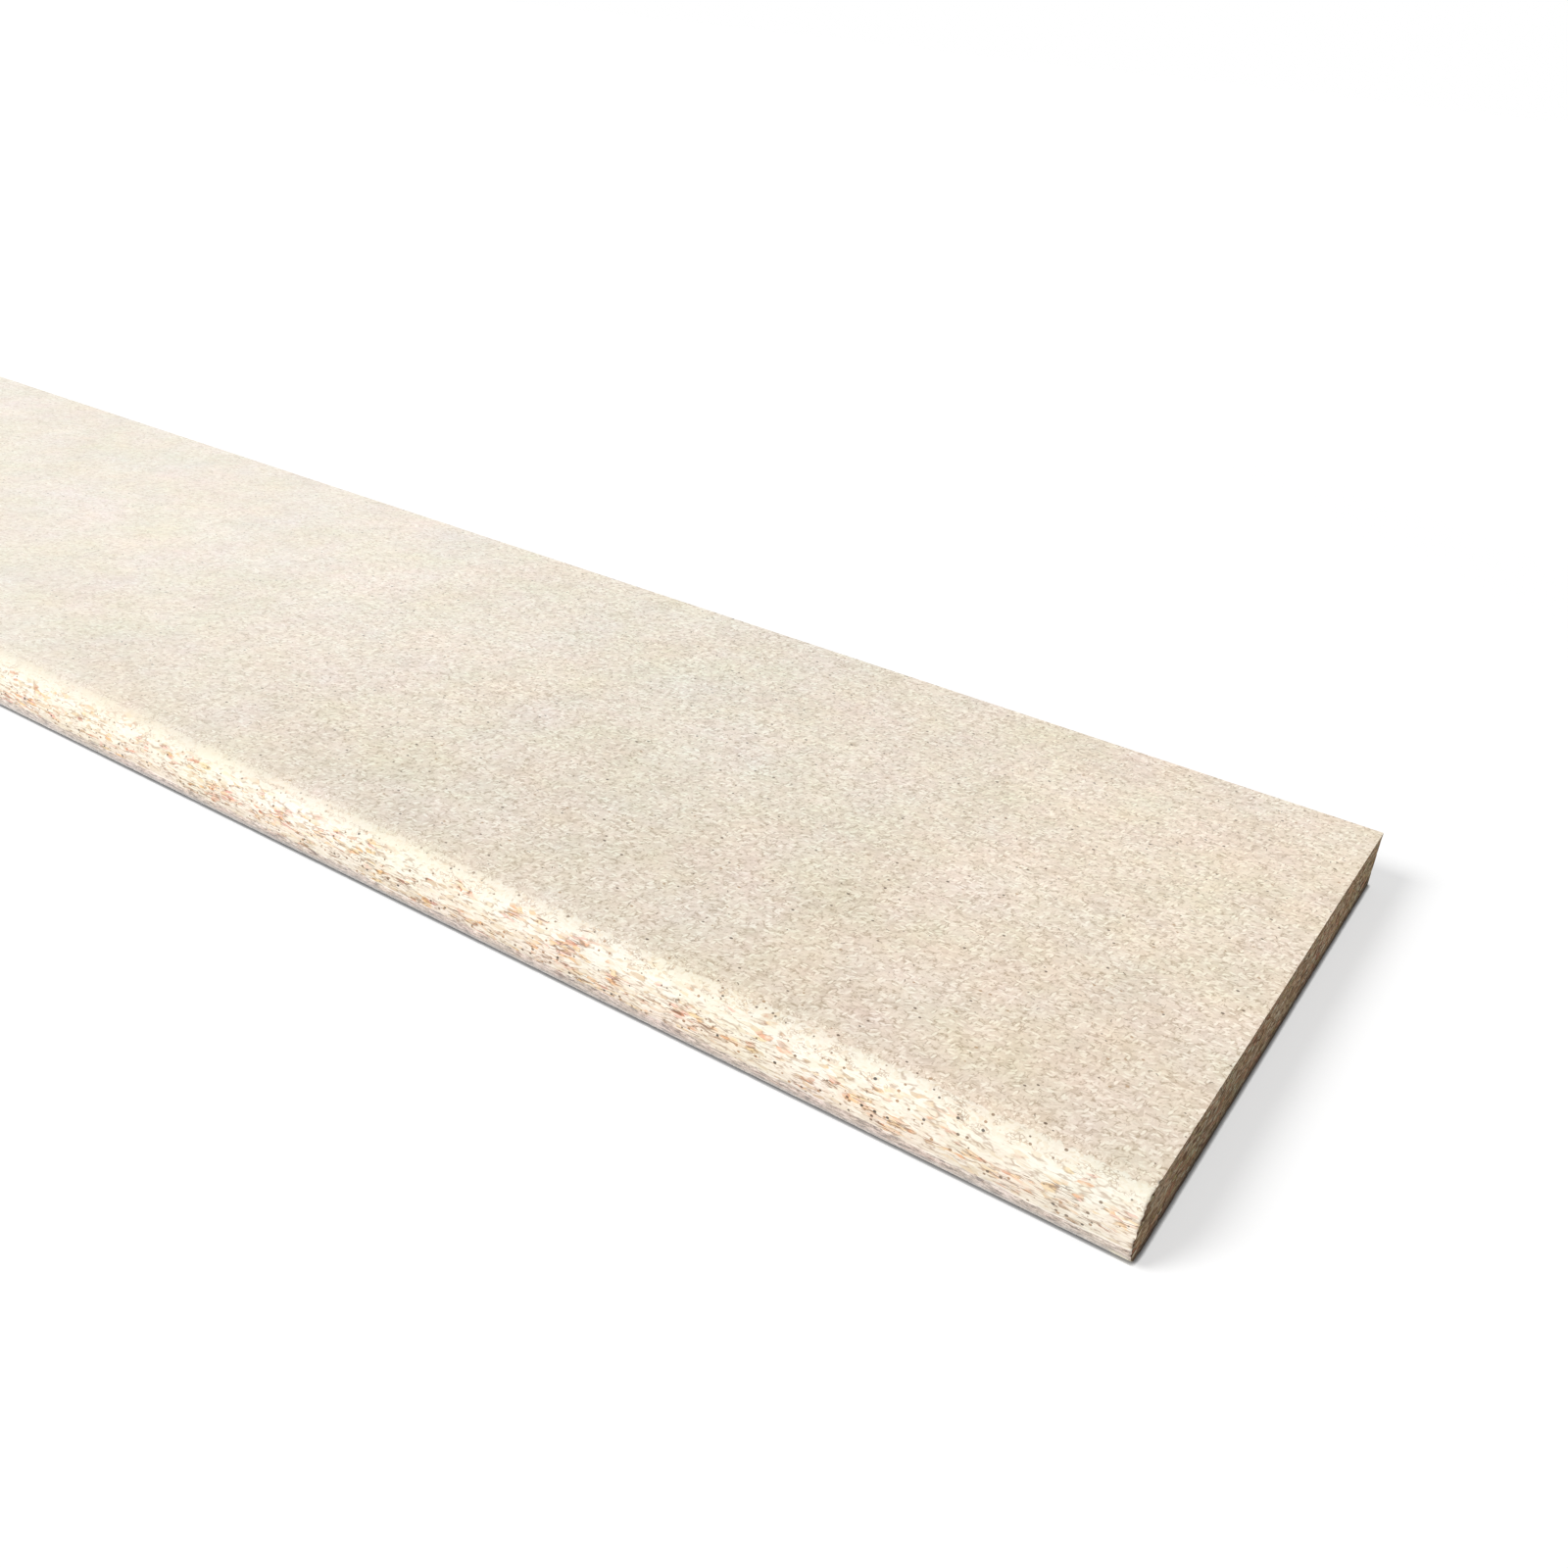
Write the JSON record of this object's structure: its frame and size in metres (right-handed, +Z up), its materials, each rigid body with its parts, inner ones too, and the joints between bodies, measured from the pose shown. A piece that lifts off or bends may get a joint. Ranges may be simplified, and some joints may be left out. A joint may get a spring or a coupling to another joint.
{
  "type": "stair tread",
  "caption": "Unfinished particleboard stair tread with a milled bull nose along its front edge, square back and square sawn ends.",
  "frame": {"origin": "centre of the underside", "axes": "+X along the tread, parallel to the riser; +Y from the nose to the back edge; +Z up from the underside"},
  "size_m": [1.0668, 0.2922, 0.027],
  "materials": {
    "particleboard": "bare pressed wood particles, sanded smooth and fine on the wide faces, coarse and open on the milled nose, the back edge and the sawn ends"
  },
  "bodies": {
    "root": {"tread": "particleboard"}
  },
  "joints": []
}
